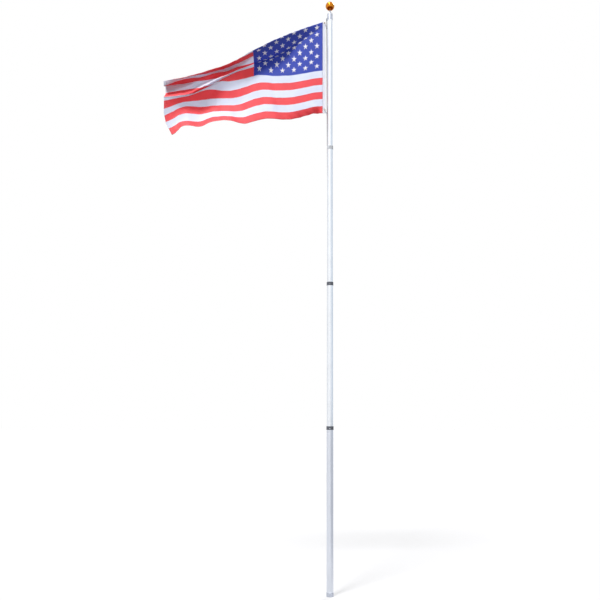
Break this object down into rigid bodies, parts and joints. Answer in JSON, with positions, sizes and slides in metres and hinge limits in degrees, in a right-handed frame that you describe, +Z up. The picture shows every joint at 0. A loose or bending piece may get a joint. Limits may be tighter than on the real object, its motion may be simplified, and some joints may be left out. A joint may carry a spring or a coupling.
{
  "type": "flagpole",
  "caption": "Sectional aluminium flagpole with a gold ball, pulley, halyard and cleat, and a stars and stripes flag hoisted on snap hooks.",
  "frame": {"origin": "centre of the flat underside of the foot cap, at ground level", "axes": "+Z up the pole, -X the way the flag flies, +Y the cleat's side"},
  "size_m": [1.6066, 0.1821, 5.378],
  "materials": {
    "satin_aluminium": "satin anodised tube",
    "bright_aluminium": "bright satin anodised tube",
    "cast_aluminium": "sand cast, tumbled",
    "collar_plastic": "moulded, matte",
    "light_collar_plastic": "moulded, matte",
    "stainless_steel": "turned",
    "wheel_nylon": "moulded",
    "gold_anodised": "polished and gold anodised",
    "halyard_rope": "braided polyester",
    "header_canvas": "woven canvas",
    "brass": "stamped, tarnished",
    "zinc": "die cast and plated",
    "blue_nylon": "woven, dyed, embroidered stars",
    "red_nylon": "woven, dyed",
    "white_nylon": "woven"
  },
  "bodies": {
    "pole": {"foot_cap": "cast_aluminium", "tube_foot": "satin_aluminium", "tube_lower": "bright_aluminium", "tube_upper": "bright_aluminium", "tube_top": "bright_aluminium", "joint_collar_1": "collar_plastic", "joint_collar_2": "collar_plastic", "joint_collar_3": "light_collar_plastic", "joint_screw_1": "stainless_steel", "joint_screw_2": "stainless_steel", "joint_screw_3": "stainless_steel", "truck_cap": "cast_aluminium", "pulley_axle": "stainless_steel", "finial_stem": "stainless_steel", "finial_nut": "stainless_steel", "finial_ball": "gold_anodised", "cleat": "cast_aluminium", "cleat_screw_upper": "stainless_steel", "cleat_screw_lower": "stainless_steel", "halyard": "halyard_rope"},
    "wheel": {"pulley_wheel": "wheel_nylon"},
    "flag": {"flag_header": "header_canvas", "grommet_upper": "brass", "grommet_lower": "brass", "snap_hook_upper": "zinc", "snap_eye_upper": "zinc", "snap_bolt_upper": "zinc", "snap_hook_lower": "zinc", "snap_eye_lower": "zinc", "snap_bolt_lower": "zinc", "flag_canton": "blue_nylon", "stripe_01_red": "red_nylon", "stripe_02_white": "white_nylon", "stripe_03_red": "red_nylon", "stripe_04_white": "white_nylon", "stripe_05_red": "red_nylon", "stripe_06_white": "white_nylon", "stripe_07_red": "red_nylon", "stripe_08_white": "white_nylon", "stripe_09_red": "red_nylon", "stripe_10_white": "white_nylon", "stripe_11_red": "red_nylon", "stripe_12_white": "white_nylon", "stripe_13_red": "red_nylon"}
  },
  "joints": [
    {"name": "flag_hoist", "type": "slide", "parent": "pole", "child": "flag", "axis": [-0.0051, -0.0015, 1], "range_m": [-3, 0]},
    {"name": "pulley_spin", "type": "hinge", "parent": "pole", "child": "wheel", "pos_m": [-0.02478, 0.03539, 5.225], "axis": [0.8191, 0.5736, 0], "continuous": true}
  ],
  "couplings": [
    {"joint": "pulley_spin", "follows": "flag_hoist", "rad_per_m": 79.365}
  ]
}
